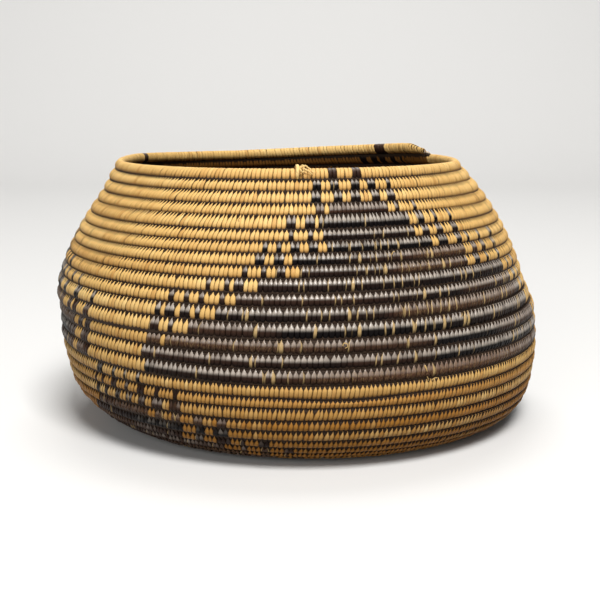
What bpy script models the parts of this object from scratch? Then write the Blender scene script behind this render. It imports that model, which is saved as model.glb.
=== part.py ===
# Coiled basketry bowl: a bundle of grass wound into one climbing spiral and sewn round by round.
# Metres, Z up. The bowl stands on Z = 0 with its front at -Y, and its widest rounds are centred on the Z axis.

from math import cos, pi, radians, sin, sqrt

import bmesh
import bpy
from mathutils import Matrix, Vector

MM = 0.001

# Wall, along the middle of the coiled rounds from the edge of the flat base up to the rim.
# Each stretch has its length and the slope that it ends with: 0 is level, 90 upright, more leans inward.
BASE_RADIUS = 83.4 * MM
WALL_STRETCHES = (
    (35.0 * MM, radians(76)),   # heel
    (25.0 * MM, radians(92)),   # lower wall, up to the widest round
    (30.0 * MM, radians(111)),  # belly
    (30.0 * MM, radians(126)),  # shoulder
    (25.1 * MM, radians(123)),  # neck
)
WALL_LENGTH = sum(length for length, _slope in WALL_STRETCHES)

# The coil's lengths from the rim inward, and their rounds.
COIL_LENGTHS = (
    ("neck_coil", 10),
    ("belly_coil", 7),
    ("heel_coil", 8),
    ("base_coil", 13.9),
)

# Pitch from round to round, and where along the coil it changes, in rounds back from the rim.
PITCHES = ((0, 5.95 * MM), (5, 4.98 * MM), (10, 6.07 * MM), (17, 4.85 * MM), (25, 6.0 * MM))
BASE_PITCH = PITCHES[-1][1]
PITCH_BLEND = 4             # rounds over which one pitch passes into the next
RIM_ROUNDS = 1              # the last of the neck's rounds is the rim
POINTS_PER_ROUND = 18
ROUND_GAP = 0.7 * MM        # between the flanks of neighbouring rounds
JOINT_GAP = 0.3 * MM        # between the ends of two lengths, and under the stitches at the rim
END_AZIMUTH = radians(117)  # where the coil ends, from the front towards the right
TAIL_SIZES = (0.45, 0.9)    # share of full thickness at the last points of the coil
LEVEL_TURN = pi / 6         # turns a level cord's six sides so that its flats face sideways
WELD_DISTANCE = 0.01 * MM   # joins a tube's end cap to its wall

# The rounds are polygons, so their corners stand a little out and their flats a little in.
CORNER_STRETCH = 2 / (1 + cos(pi / POINTS_PER_ROUND))

# The hand-built form leans a little: its middle moves sideways with height, and its rounds tip.
# Each height has how far the middle stands to the right there.
LEAN = (
    (2.47 * MM, 6.0 * MM),
    (26 * MM, 2.1 * MM),
    (50 * MM, 0.3 * MM),
    (66 * MM, -3.3 * MM),
    (104 * MM, -3.2 * MM),
    (124 * MM, -5.5 * MM),
)
FOOT_CENTRE = LEAN[0][1]
RIM_HEIGHT = 126 * MM
RIM_TIP = 0.013             # rise to the right at the rim, per unit of width
BACK_SAG = 2.3 * MM         # drop of the rim's back below its front
SAG_FROM = 60 * MM

# Start of the coil
FLAT_SHARE = 0.1            # of a cord's diameter, taken off where the bowl stands on it
FLAT_CUT_WIDTH = 210 * MM   # wider than the rounds that the cut reaches
FLAT_CUT_DEPTH = 10 * MM
KNOT_RADIUS = 4.0 * MM
KNOT_HEIGHT = 4.6 * MM
KNOT_FLAT = 0.8             # where the knot's round is cut flat, as a share of its half height
KNOT_SEGMENTS = 20
INNER_END_TURN = radians(45)
INNER_END_RUN = 5.6 * MM

# Dyed stitches round the rim: the azimuth of each group's middle, and its number of stitches.
STITCH_THICKNESS = 1.0 * MM
STITCH_STEP = radians(1.25)
STITCH_POINTS = 9
STITCH_WRAP = radians(240)
DARK_RIM_STITCHES = (
    ("dark_stitch_front_left", radians(15.1), 2),
    ("dark_stitch_front_right", radians(21.5), 2),
    ("dark_stitch_back_right", radians(139.5), 4),
    ("dark_stitch_back_left", radians(-113), 2),
)

# Tie at the front of the rim
TIE_AZIMUTH = radians(5.6)
TIE_LOOP_OFFSET = radians(-1.7)
TIE_LOOP_THICKNESS = 2.0 * MM
TIE_RISE = 0.4 * MM
TIE_KNOT_RADIUS = 1.0 * MM
TIE_END_THICKNESS = 0.9 * MM
TIE_END_LENGTH = 4.4 * MM
TIE_END_SLANT = radians(58)  # from straight down
TIE_END_HEIGHTS = (1.9 * MM, 0.3 * MM)

STRAW = (0.55, 0.35, 0.13, 1)
PALE_STRAW = (0.70, 0.50, 0.23, 1)
DARK_RUSH = (0.045, 0.035, 0.032, 1)


def clear_scene():
    for item in list(bpy.data.objects):
        bpy.data.objects.remove(item, do_unlink=True)


def new_collection(name):
    collection = bpy.data.collections.new(name)
    bpy.context.scene.collection.children.link(collection)
    return collection


def new_material(name, colour, roughness):
    material = bpy.data.materials.new(name)
    material.use_nodes = True
    shader = material.node_tree.nodes["Principled BSDF"]
    shader.inputs["Base Color"].default_value = colour
    shader.inputs["Roughness"].default_value = roughness
    shader.inputs["Metallic"].default_value = 0
    return material


def ease(value, start, end):
    """0 before start, 1 after end, and a smooth passage between them."""
    share = min(max((value - start) / (end - start), 0), 1)
    return share * share * (3 - 2 * share)


def cord_radius(pitch):
    """Corner radius of a six-sided cord whose flats leave ROUND_GAP to the next round's."""
    return (pitch - ROUND_GAP) / sqrt(3)


BASE_HEIGHT = cord_radius(BASE_PITCH * CORNER_STRETCH) * (1 - 2 * FLAT_SHARE)


def wall_profile(run):
    """Radius, height and slope of the wall, run metres up from the base's edge, or negative on the base."""
    radius = BASE_RADIUS
    height = BASE_HEIGHT
    slope = 0.0
    if run <= 0:
        return radius + run, height, slope
    for length, end_slope in WALL_STRETCHES:
        part = min(run, length)
        bend = (end_slope - slope) / length
        if bend:
            new_slope = slope + bend * part
            radius += (sin(new_slope) - sin(slope)) / bend
            height += (cos(slope) - cos(new_slope)) / bend
            slope = new_slope
        else:
            radius += part * cos(slope)
            height += part * sin(slope)
        run -= part
        if run <= 0:
            break
    return radius, height, slope


def place(run, azimuth):
    """Point of the leaning wall at this run up from the base's edge and this azimuth."""
    radius, height, _slope = wall_profile(run)
    radius *= CORNER_STRETCH
    above = height - BASE_HEIGHT
    shift = FOOT_CENTRE
    for (low, before), (high, after) in zip(LEAN, LEAN[1:]):
        shift += (after - before) * ease(height, low, high)
    side = radius * sin(azimuth)
    tip = RIM_TIP * above / (RIM_HEIGHT - BASE_HEIGHT)
    sag = BACK_SAG * ease(height, SAG_FROM, RIM_HEIGHT) * (1 - cos(azimuth)) / 2
    return Vector((shift + side, -radius * cos(azimuth), height + tip * side - sag))


def pitch_at(turn):
    """Pitch of the coil, turn rounds back from its end."""
    pitch = PITCHES[0][1]
    for (_edge, before), (edge, after) in zip(PITCHES, PITCHES[1:]):
        pitch += (after - before) * ease(turn, edge - PITCH_BLEND / 2, edge + PITCH_BLEND / 2)
    return pitch


def coil_runs(count):
    """Run up the wall at each point of the coil, from its end at the rim inward to its start."""
    runs = [WALL_LENGTH]
    for index in range(1, count):
        runs.append(runs[-1] - pitch_at((index - 0.5) / POINTS_PER_ROUND) / POINTS_PER_ROUND)
    for index, size in enumerate(TAIL_SIZES):
        reach = cord_radius(pitch_at(0)) * (1 + size) * sqrt(3) / 2 + ROUND_GAP
        runs[index] = runs[index + POINTS_PER_ROUND] + reach
    return runs


def round_spacing(points, index):
    """Mean distance from a point of the coil to the rounds above and below it, where there are any."""
    spacings = []
    if index >= POINTS_PER_ROUND + len(TAIL_SIZES):
        spacings.append((points[index] - points[index - POINTS_PER_ROUND]).length)
    if index + POINTS_PER_ROUND < len(points):
        spacings.append((points[index] - points[index + POINTS_PER_ROUND]).length)
    return sum(spacings) / len(spacings)


def coil_path():
    """Points, cord radii and slopes of the whole coil, from its end at the rim inward to its start."""
    rounds = sum(length[1] for length in COIL_LENGTHS)
    count = round(rounds * POINTS_PER_ROUND) + 1
    runs = coil_runs(count)
    points = [place(run, END_AZIMUTH + 2 * pi * index / POINTS_PER_ROUND) for index, run in enumerate(runs)]
    path = []
    for index, point in enumerate(points):
        if index < len(TAIL_SIZES):
            radius = cord_radius(pitch_at(0)) * TAIL_SIZES[index]
        else:
            radius = cord_radius(round_spacing(points, index))
        path.append((point, radius, wall_profile(runs[index])[2]))
    return path


def inner_end(path):
    """End point of the coil's straight inner end, turned in beside the start knot."""
    last, radius, slope = path[-1]
    back = (last - path[-2][0]).normalized()
    inward = Matrix.Rotation(INNER_END_TURN, 3, "Z") @ back
    return last + inward * INNER_END_RUN, radius, slope


def cut_point(path, index, side):
    """Middle of the straight after this point, moved half a joint gap towards the given side."""
    start, start_radius, start_slope = path[index]
    end, end_radius, end_slope = path[index + 1]
    along = (end - start).normalized()
    point = (start + end) / 2 + along * (side * JOINT_GAP / 2)
    return point, (start_radius + end_radius) / 2, (start_slope + end_slope) / 2


def length_of_coil(path, first_turn, last_turn):
    """One length of the coil, cut square in the middle of a straight where it meets the next length.

    Each point has its cord radius and the turn that sets the cord's flats to the neighbouring rounds.
    """
    first = round(first_turn * POINTS_PER_ROUND)
    last = round(last_turn * POINTS_PER_ROUND)
    points = path[first + 1:last + 1]
    if first == 0:
        points.insert(0, path[0])
    else:
        points.insert(0, cut_point(path, first, 1))
    if last == len(path) - 1:
        points.append(inner_end(path))
    else:
        points.append(cut_point(path, last, -1))
    return [(point, radius, LEVEL_TURN - slope) for point, radius, slope in points]


def section_corners(path, index):
    """Corners of the six-sided cord at one point of the path, in the upright plane across it."""
    point, radius, slope = path[index]
    azimuth = END_AZIMUTH + 2 * pi * index / POINTS_PER_ROUND
    out = Vector((sin(azimuth), -cos(azimuth), 0))
    along_wall = out * cos(slope) + Vector((0, 0, sin(slope)))
    across_wall = out * sin(slope) - Vector((0, 0, cos(slope)))
    corners = []
    for corner in range(6):
        angle = corner * pi / 3
        corners.append(point + across_wall * (radius * cos(angle)) + along_wall * (radius * sin(angle)))
    return corners


def distance_to_edge(point, start, end):
    """Distance from a point to the straight between two corners."""
    edge = end - start
    share = min(max((point - start).dot(edge) / edge.length_squared, 0), 1)
    return (point - start - edge * share).length


def least_gap(path):
    """Least gap of the coil to itself, from every corner of a section to the facing section's edges."""
    sections = [section_corners(path, index) for index in range(len(path))]
    gaps = []
    for upper, lower in zip(sections, sections[POINTS_PER_ROUND:]):
        for ring, other in ((upper, lower), (lower, upper)):
            for corner in ring:
                gaps += [distance_to_edge(corner, other[edge - 1], other[edge]) for edge in range(6)]
    return min(gaps)


def tube(name, points, collection, material, twist="MINIMUM"):
    """A six-sided tube along points that each have a radius and a turn about the tube, as a closed mesh."""
    thickness = max(radius for _point, radius, _turn in points)
    curve = bpy.data.curves.new(name, "CURVE")
    curve.dimensions = "3D"
    curve.twist_mode = twist
    curve.bevel_depth = thickness
    curve.bevel_resolution = 1
    curve.use_fill_caps = True
    spline = curve.splines.new("POLY")
    spline.points.add(len(points) - 1)
    for target, (point, radius, turn) in zip(spline.points, points):
        target.co = (*point, 1)
        target.radius = radius / thickness
        target.tilt = turn
    guide = bpy.data.objects.new(name + "_guide", curve)
    collection.objects.link(guide)
    bpy.context.view_layer.update()
    graph = bpy.context.evaluated_depsgraph_get()
    mesh = bpy.data.meshes.new_from_object(guide.evaluated_get(graph))
    shape = bmesh.new()
    shape.from_mesh(mesh)
    bmesh.ops.remove_doubles(shape, verts=shape.verts, dist=WELD_DISTANCE)
    bmesh.ops.recalc_face_normals(shape, faces=shape.faces)
    shape.to_mesh(mesh)
    shape.free()
    solid = bpy.data.objects.new(name, mesh)
    solid.matrix_world = guide.matrix_world.copy()
    bpy.data.objects.remove(guide, do_unlink=True)
    mesh.materials.clear()
    mesh.materials.append(material)
    collection.objects.link(solid)
    return solid


def cut_flat(solid, cutters):
    """Take off what lies below the plane that the bowl stands on."""
    shape = bmesh.new()
    bmesh.ops.create_cube(shape, size=1)
    bmesh.ops.scale(shape, vec=(FLAT_CUT_WIDTH, FLAT_CUT_WIDTH, FLAT_CUT_DEPTH), verts=shape.verts)
    mesh = bpy.data.meshes.new("floor_cutter")
    shape.to_mesh(mesh)
    shape.free()
    block = bpy.data.objects.new("floor_cutter", mesh)
    block.location = (FOOT_CENTRE, 0, -FLAT_CUT_DEPTH / 2)
    block.hide_render = True
    block.display_type = "WIRE"
    cutters.objects.link(block)
    cut = solid.modifiers.new("stand_flat", "BOOLEAN")
    cut.operation = "DIFFERENCE"
    cut.solver = "EXACT"
    cut.object = block


def start_knot(collection, material):
    """The wrapped button that the coil starts from, flat underneath like the rounds beside it."""
    shape = bmesh.new()
    bmesh.ops.create_uvsphere(shape, u_segments=KNOT_SEGMENTS, v_segments=KNOT_SEGMENTS // 2, radius=1)
    everything = shape.verts[:] + shape.edges[:] + shape.faces[:]
    bmesh.ops.bisect_plane(shape, geom=everything, plane_co=(0, 0, -KNOT_FLAT), plane_no=(0, 0, -1),
                           clear_outer=True)
    bmesh.ops.edgeloop_fill(shape, edges=[edge for edge in shape.edges if edge.is_boundary])
    half = KNOT_HEIGHT / (1 + KNOT_FLAT)
    bmesh.ops.scale(shape, vec=(KNOT_RADIUS, KNOT_RADIUS, half), verts=shape.verts)
    bmesh.ops.translate(shape, vec=(0, 0, KNOT_FLAT * half), verts=shape.verts)
    bmesh.ops.recalc_face_normals(shape, faces=shape.faces)
    mesh = bpy.data.meshes.new("start_knot")
    shape.to_mesh(mesh)
    shape.free()
    mesh.materials.append(material)
    mesh.shade_smooth()
    knot = bpy.data.objects.new("start_knot", mesh)
    knot.location = (FOOT_CENTRE, 0, 0)
    collection.objects.link(knot)


def rim_at(path, azimuth):
    """Middle, cord radius, outward and up directions of the last round at this azimuth."""
    step = (azimuth - END_AZIMUTH) / (2 * pi) % 1.0 * POINTS_PER_ROUND
    index = int(step)
    share = step - index
    start, start_radius, _slope = path[index]
    end, end_radius, slope = path[index + 1]
    radius = start_radius * (1 - share) + end_radius * share
    out = Vector((sin(azimuth), -cos(azimuth), 0))
    up = out * cos(slope) + Vector((0, 0, sin(slope)))
    outward = out * sin(slope) - Vector((0, 0, cos(slope)))
    return start.lerp(end, share), radius, outward, up


def strand_over_rim(path, azimuth, thickness, rise=0.0):
    """Points of one strand from the outside over the top of the last round to the inside, clear of it."""
    middle, radius, outward, up = rim_at(path, azimuth)
    clear = radius + JOINT_GAP + thickness / 2
    points = []
    for index in range(STITCH_POINTS):
        angle = pi / 2 + STITCH_WRAP * (index / (STITCH_POINTS - 1) - 0.5)
        lift = clear + rise * max(sin(angle), 0)
        points.append((middle + outward * (clear * cos(angle)) + up * (lift * sin(angle)), thickness / 2, 0))
    return points


def dark_rim_stitches(path, collection, material):
    """Groups of dyed stitches that wrap the last round, each stitch a strand of its own."""
    for name, azimuth, count in DARK_RIM_STITCHES:
        for index in range(count):
            offset = (index - (count - 1) / 2) * STITCH_STEP
            points = strand_over_rim(path, azimuth + offset, STITCH_THICKNESS)
            tube(f"{name}_{index + 1}", points, collection, material)


def rim_tie(path, collection, material):
    """The tie at the front: a raised loop over the rim, its knot, and the knot's slanting ends."""
    loop = strand_over_rim(path, TIE_AZIMUTH + TIE_LOOP_OFFSET, TIE_LOOP_THICKNESS, TIE_RISE)
    tube("rim_tie_loop", loop, collection, material)

    middle, radius, outward, up = rim_at(path, TIE_AZIMUTH)
    sideways = outward.cross(up)
    if sideways.x < 0:
        sideways.negate()
    clear = radius + JOINT_GAP
    shape = bmesh.new()
    bmesh.ops.create_icosphere(shape, subdivisions=2, radius=TIE_KNOT_RADIUS)
    mesh = bpy.data.meshes.new("rim_tie_knot")
    shape.to_mesh(mesh)
    shape.free()
    mesh.materials.append(material)
    mesh.shade_smooth()
    knot = bpy.data.objects.new("rim_tie_knot", mesh)
    knot.location = middle + (outward + up / 2).normalized() * (clear + TIE_KNOT_RADIUS)
    collection.objects.link(knot)

    slant = sideways * sin(TIE_END_SLANT) - up * cos(TIE_END_SLANT)
    for index, height in enumerate(TIE_END_HEIGHTS):
        start = middle + outward * (clear + TIE_END_THICKNESS / 2) + up * height
        start += sideways * (TIE_KNOT_RADIUS + JOINT_GAP + TIE_END_THICKNESS / 2)
        ends = [start + slant * (TIE_END_LENGTH * share) for share in (0, 0.5, 1)]
        points = [(point, TIE_END_THICKNESS / 2, 0) for point in ends]
        tube(f"rim_tie_end_{index + 1}", points, collection, material)


def main():
    clear_scene()
    parts = new_collection("basketry_bowl")
    cutters = new_collection("cutters")
    straw = new_material("straw", STRAW, 0.55)
    pale = new_material("pale_straw", PALE_STRAW, 0.5)
    dark = new_material("dark_rush", DARK_RUSH, 0.35)
    coil_materials = {"neck_coil": pale, "belly_coil": dark, "heel_coil": straw, "base_coil": straw}

    path = coil_path()
    tube("rim_coil", length_of_coil(path, 0, RIM_ROUNDS), parts, pale, "Z_UP")
    first = 0
    for name, rounds in COIL_LENGTHS:
        last = first + rounds
        points = length_of_coil(path, max(first, RIM_ROUNDS), last)
        solid = tube(name, points, parts, coil_materials[name], "Z_UP")
        if name == "base_coil":
            cut_flat(solid, cutters)
        first = last

    start_knot(parts, straw)
    dark_rim_stitches(path, parts, dark)
    rim_tie(path, parts, pale)
    print(f"least gap of the coil to itself: {least_gap(path) / MM:.2f} mm")


main()
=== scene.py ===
from math import cos, pi, radians, sin, tau
from types import SimpleNamespace

import bmesh
import bpy
import numpy as np
from bpy.props import FloatProperty, FloatVectorProperty, IntProperty, PointerProperty
from bpy.types import Operator, Panel, PropertyGroup
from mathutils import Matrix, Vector


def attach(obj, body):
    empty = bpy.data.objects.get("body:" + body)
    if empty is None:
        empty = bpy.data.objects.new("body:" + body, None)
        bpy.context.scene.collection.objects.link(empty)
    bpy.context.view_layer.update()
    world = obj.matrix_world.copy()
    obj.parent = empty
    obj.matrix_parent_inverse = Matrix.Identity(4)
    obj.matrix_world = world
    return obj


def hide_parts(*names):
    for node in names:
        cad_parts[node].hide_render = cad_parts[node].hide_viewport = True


bl_info = {
    "name": "Coiled Basketry Bowl",
    "version": (1, 0, 0),
    "blender": (4, 5, 0),
    "location": "3D View > Sidebar > Basket",
    "description": "Sews a coiled basketry bowl stitch by stitch round its wound bundle of grass",
    "category": "Add Mesh",
}

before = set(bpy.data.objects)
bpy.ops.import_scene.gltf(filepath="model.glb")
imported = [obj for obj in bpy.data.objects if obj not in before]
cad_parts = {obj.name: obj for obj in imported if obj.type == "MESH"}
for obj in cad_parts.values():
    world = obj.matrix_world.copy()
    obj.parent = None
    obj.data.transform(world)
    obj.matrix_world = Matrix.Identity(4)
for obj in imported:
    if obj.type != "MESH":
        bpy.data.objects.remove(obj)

MM = 0.001

# Wall, along the middle of the coiled rounds from the edge of the flat base up to the rim.
# Each stretch has its length and the slope that it ends with: 0 is level, 90 upright, more leans inward.
BASE_RADIUS = 83.4 * MM
BASE_HEIGHT = 2.47 * MM
WALL_STRETCHES = (
    (35.0 * MM, radians(76)),
    (25.0 * MM, radians(92)),
    (30.0 * MM, radians(111)),
    (30.0 * MM, radians(126)),
    (25.1 * MM, radians(123)),
)
WALL_LENGTH = sum(length for length, _slope in WALL_STRETCHES)

# The hand-built form leans a little: its middle moves sideways with height, and its rounds tip.
# Each height has how far the middle stands to the right there.
LEAN = ((BASE_HEIGHT, 6.0 * MM), (26 * MM, 2.1 * MM), (50 * MM, 0.3 * MM), (66 * MM, -3.3 * MM),
        (104 * MM, -3.2 * MM), (124 * MM, -5.5 * MM))
FOOT_CENTRE = LEAN[0][1]
RIM_HEIGHT = 126 * MM
RIM_TIP = 0.013
BACK_SAG = 2.3 * MM
SAG_FROM = 60 * MM

# The rim isn't quite level: its lift at places round it, in degrees from the front towards the right.
RIM_LIFTS = ((-180, -1.0 * MM), (-160, -1.4 * MM), (-135, -0.6 * MM), (-108, 0.8 * MM), (-80, 0), (80, 0),
             (95, 0.7 * MM), (112, 1.5 * MM), (130, 1.5 * MM), (150, 0.4 * MM), (180, -1.0 * MM))
LIFT_FROM = 104 * MM

# Pitch from round to round, and where along the coil it changes, in rounds back from its end.
PITCHES = ((0, 5.95 * MM), (5, 4.98 * MM), (10, 6.07 * MM), (17, 4.85 * MM), (25, 6.0 * MM))
PITCH_BLEND = 4
COIL_ROUNDS = 39.6
ROUND_STEPS = 150
END_AZIMUTH = 117
# A round's half thickness grows with its pitch by this share.
THICKER_BY_PITCH = 0.15
# The coil is thinner over its last part of a round, and its grass stops short of its last stitch.
TAIL_SIZE = 0.55
TAIL_ROUNDS = 0.021
TAIL_CLOSED = 0.005
# It starts thinner too, round a small wrapped ring that it overlaps.
START_SIZE = 0.6
START_ROUNDS = 0.8
RING_RADIUS = 2.6 * MM
RING_ROOM = 2.8 * MM
RING_OVERLAP = 0.2
RING_THICKNESS = 2.3 * MM
RING_STITCHES = 16
RING_SLANT = 0.1

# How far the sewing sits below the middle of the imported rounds, at rounds back from the coil's end.
SETTLED = ((0, 0), (1, 0.15 * MM), (5, 0.45 * MM), (9, 0.65 * MM), (11, 1.0 * MM), (18, 1.1 * MM),
           (21, 1.6 * MM), (23, 1.2 * MM), (25, 0))

# The bowl's lengths of coil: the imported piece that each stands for, and the rounds that part its meshes.
LENGTHS = (
    ("rim", "rim_coil", (0, 1)),
    ("neck", "neck_coil", (1, 5.5, 10)),
    ("belly", "belly_coil", (10, 13.5, 17)),
    ("heel", "heel_coil", (17, 21, 25)),
    ("base", "base_coil", (25, 30, COIL_ROUNDS)),
)
# Rounds back from the end where the light stitches change from pale straw to straw.
STRAW_FROM = 10

# Grooves that lie lower or higher at the front than an even spacing puts them: the row above, and how many
# millimetres the groove lies lower.
GROOVE_SHIFTS = {1: 0.7, 2: -0.1, 3: -0.3, 4: -0.95, 6: -0.2, 7: -0.2, 9: -0.1, 10: 0.5, 12: 0.2, 13: 0.65,
                 14: 0.4, 15: 0.3, 16: 0.9, 17: 0.6, 19: 0.35}
SHIFT_AZIMUTH = 9
# The groove under one row also sags there in a short stretch, so that row is thick and the next one thin.
SAGGING_ROW = 17
SAG_SHARE = 0.17
SAG_HALF_WIDTH = 16

# Stitches in a round, from the rounds where each count begins. The half sets every stitch
# between two stitches of the next round.
STITCH_COUNTS = ((0, 290.5), (2, 299.5), (3, 312.5), (6, 340.5), (10, 306.5), (16, 372.5), (19, 328.5))
BASE_FROM = 24.6

# A stitch's way round the bundle of grass, from straight out and up over it: how far out it stands, how far
# up, and how wide it is, as shares of the round's half thickness, of its room and of the stitch's full width.
# Its pointed upper tip stands in front of the round above.
STITCH_OUT = np.array((1, 0.98, 0.90, 0.80, 0.66, -0.50, -1, -0.55, -0.05, 0.26, 0.60, 0.90))
STITCH_UP = np.array((0, 0.30, 0.54, 0.78, 1.16, 0.82, 0, -0.80, -1.02, -0.92, -0.70, -0.38))
STITCH_WIDTH = np.array((1, 1, 0.86, 0.52, 0.05, 0.60, 1, 0.80, 0.20, 0.50, 0.84, 1))
# The round way over the rim, where nothing lies above.
RIM_ANGLES = np.radians((0, 24, 46, 68, 92, 132, 180, 230, 278, 300, 318, 338))
RIM_WIDTH = 1.06
ACROSS = np.array((-1, -0.5, 0, 0.5, 1))
# The inner crown as a share of the outer one, and the least and the most that a stitch fans out by.
INNER_CROWN = 0.5
FAN_LIMITS = (0.15, 2)
# How much single stitches differ: in place and width as shares of the width, in slant as a share of the
# height, and in crown as a share of the crown.
PLACE_SCATTER = 0.06
WIDTH_SCATTER = 0.04
SLANT_SCATTER = 0.05
CROWN_SCATTER = 0.15

# The grass has this many sides, and steps to a round. It lies this many splints under the stitches, and under
# the rim's top. It reaches past each groove, so that no light comes through. A power under 1 makes it fuller.
GRASS_SIDES = 16
GRASS_STEPS = 96
GRASS_INSET = 1.6
RIM_INSET = 1.2
GROOVE_REACH = 0.9
GRASS_FULLNESS = 0.8

# How far stitches slant along the coil, as a share of their height. Towards the left of the front they slant
# more, from a place that shifts with the rows. Each change has its start, its end and its amount.
SLANT = 0.05
LEFT_SLANT = 0.42
LEFT_SLANT_FROM = -5
LEFT_SLANT_WIDTH = 52
LEFT_SLANT_SHIFTS = ((7, 10, 20),)
BACK_SLANTS = ((80, 150, -0.22), (200, 272, -0.2))
HEEL_SLANTS = ((16.5, 18, 0.1),)

# Dark stretches of each row of the front pyramid, in degrees from the front towards the right.
PYRAMID_LEFT = -34
PYRAMID_RIGHT = 77
PYRAMID_ROWS = {
    2: ((7.6, 9.3), (12.7, 14.8), (18.4, 20.8), (23.2, 26.0), (29.8, 31.6)),
    3: ((6.3, 9.2), (12.8, 15.0), (17.7, 20.2), (23.0, 26.2), (28.3, 30.3)),
    4: ((6.8, 8.6), (10.8, 26.4), (28.7, 30.4), (34.8, 35.9)),
    5: ((-0.3, 1.3), (4.4, 5.8), (7.6, 32.0), (34.4, 36.4), (39.6, 40.8), (45.5, 46.8)),
    6: ((-0.5, 0.9), (4.3, 6.0), (8.2, 31.7), (34.8, 37.0), (39.4, 41.2), (44.5, 46.8)),
    7: ((-6.0, -4.6), (-2.6, -1.3), (0.3, 2.6), (4.9, 6.6), (8.8, 36.5), (39.1, 41.3), (45.0, 46.8),
        (49.1, 50.3), (54.3, 55.8), (60.4, 62.3)),
    8: ((-7.8, -5.0), (-2.9, -0.8), (0.9, 46.4), (49.1, 51.5), (54.3, 56.4), (60.4, 62.1)),
    9: ((-10.4, -8.7), (-6.4, -4.6), (-2.5, -0.5), (2.0, 45.8), (49.2, 51.0), (54.5, 55.9), (60.6, 62.4)),
    10: ((-18.4, -17.0), (-13.9, -12.9), (-11.4, -9.4), (-6.5, 61), (64, 65.6), (69, 70.4)),
    11: ((-26.6, -25.3), (-22.9, -21.7), (-19.0, -17.7), (-15.1, -13.5), (-11.3, 63.7), (66.2, 68.2),
         (71, 72.4)),
    12: ((-29.9, -28.3), (-27.1, -25.0), (-22.9, -21.3), (-19.7, -18.2), (-15.5, 69.5), (72, 74)),
    13: ((-31.2, -29.1), (-26.5, -24.6), (-22.1, 71), (74.5, 76)),
    14: ((-32.5, -29.8), (-27.9, 73), (75.5, 77)),
    15: ((-34.1, 77.1),),
    16: ((-34.1, 77.1),),
}
# The upper pyramids: left and right end of the base, and whether the steps are drawn mirrored.
PYRAMIDS = ((PYRAMID_LEFT, PYRAMID_RIGHT, False), (-154, -53, True), (-262, -174, False))

# The steps of the pyramid at the left that its front flank shows, in degrees from the front.
FLANK_FROM = -66
FLANK_TO = -45
FLANK_TOP_ROW = 11
FLANK_ROWS = {
    11: ((-62.4, -61.0), (-57.9, -56.5)),
    12: ((-65.8, -64.4), (-58.9, -56.8), (-50.8, -49.6)),
    13: ((-62.2, -60.8), (-58.8, -57.4), (-52.8, -50.6)),
    14: ((-66, -60.2), (-57.8, -55.2), (-53.8, -51.4)),
    15: ((-66, -60), (-56.6, -52.8)),
    16: ((-66, -62), (-59.2, -54.4)),
}

# Dark stretches of each row of the lower pyramid at the front's left, in degrees from the front.
LOWER_ROWS = {
    17: ((-50.2, -49.0), (-45.3, -44.1), (-40.8, -39.6), (-37.6, -36.4)),
    18: ((-53.0, -51.7), (-50.6, -49.3), (-46.4, -44.4), (-41.9, -40.2), (-38.0, -35.9), (-33.0, -31.9),
         (-28.2, -26.9)),
    19: ((-53.2, -51.6), (-50.0, -48.4), (-45.9, -44.2), (-41.9, -40.2), (-37.9, -35.9), (-33.9, -31.8),
         (-29.3, -26.6)),
    20: ((-53.6, -36.1), (-34.1, -32.0), (-29.5, -27.0), (-23.6, -21.6), (-17.9, -16.3)),
    21: ((-59, -27.6), (-25.0, -22.7), (-20.2, -17.0)),
    22: ((-62, -29.2), (-26.1, -23.5), (-21.0, -17.4), (-15.0, -13.7), (-10.4, -8.3)),
    23: ((-66, -19.8), (-15.8, -14.6), (-11.2, -8.8), (-5.6, -4.2)),
    24: ((-72, -15.4), (-12.4, -9.9), (-7.0, -4.9)),
    25: ((-78, -8), (-4.5, -2.5), (2, 4)),
    26: ((-86, 0), (4, 6)),
}
# How far round the bowl the same lower pyramid stands again, and the rows that are dark all round below it.
LOWER_REPEATS = (0, -120, 140)
DARK_BASE_ROWS = (27, 28)

# Undyed stitches in the dark rows, in degrees from the front.
TAN_STITCHES = {
    7: (26.5,), 8: (16.8, 35.7), 9: (22.2, 37.6), 10: (14.4, 44), 11: (30.8,), 12: (-9.0, 12.4),
    13: (-7.1, 4.2, 14.7, 20.9, 26.1, 33.8, 39.8, 40.9), 14: (-3.4, 30.5), 15: (-9.2, 25.0), 16: (-5.2, 28.5),
}
# Stretches of the dark rows that have turned brown: row, both ends in degrees from the front, and how much.
BROWN_STRETCHES = (
    (8, 30, 50, 0.25), (9, 24, 46, 0.55), (11, 42, 64, 0.4), (12, 22, 66, 0.4), (13, -22, -2, 0.35),
    (14, -34, 30, 0.5), (14, 50, 72, 0.3), (15, 10, 30, 0.3), (16, -34, 77, 0.45), (16, -66, -54, 0.5),
    (15, -66, -54, 0.4), (13, -100, -64, 0.4), (14, -110, -60, 0.45),
    (20, -60, -16, 0.3), (22, -62, -8, 0.4), (23, -66, -4, 0.3), (24, -72, 0, 0.4), (25, -78, 4, 0.3),
)
# How far a brown stretch fades in and out, in degrees, and how brown the dark stitches are elsewhere.
BROWN_FADE = 3
BROWN = 0.08
BROWN_WAVES = 0.25
# Rows whose splints are lighter or darker than their neighbours'.
ROW_TONES = {1: 0.05, 3: 0.12, 4: -0.05, 5: 0.08, 9: -0.08, 11: 0.12, 13: 0.1, 14: -0.05, 17: 0.12, 18: -0.2,
             19: 0.2, 20: -0.08, 21: 0.08, 22: -0.08, 23: 0.05, 24: -0.25}
# The middle tone of a splint, and how much it differs along the coil and from stitch to stitch.
TONE = 0.5
TONE_WAVES = 0.18
TONE_SCATTER = 0.08
# Rounds back from the end over which the splints turn from pale to golden. The golden colour also holds
# painted shade for the heel.
GOLD_ROUNDS = (11, 23)
GOLD_WAVES = 0.12
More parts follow.
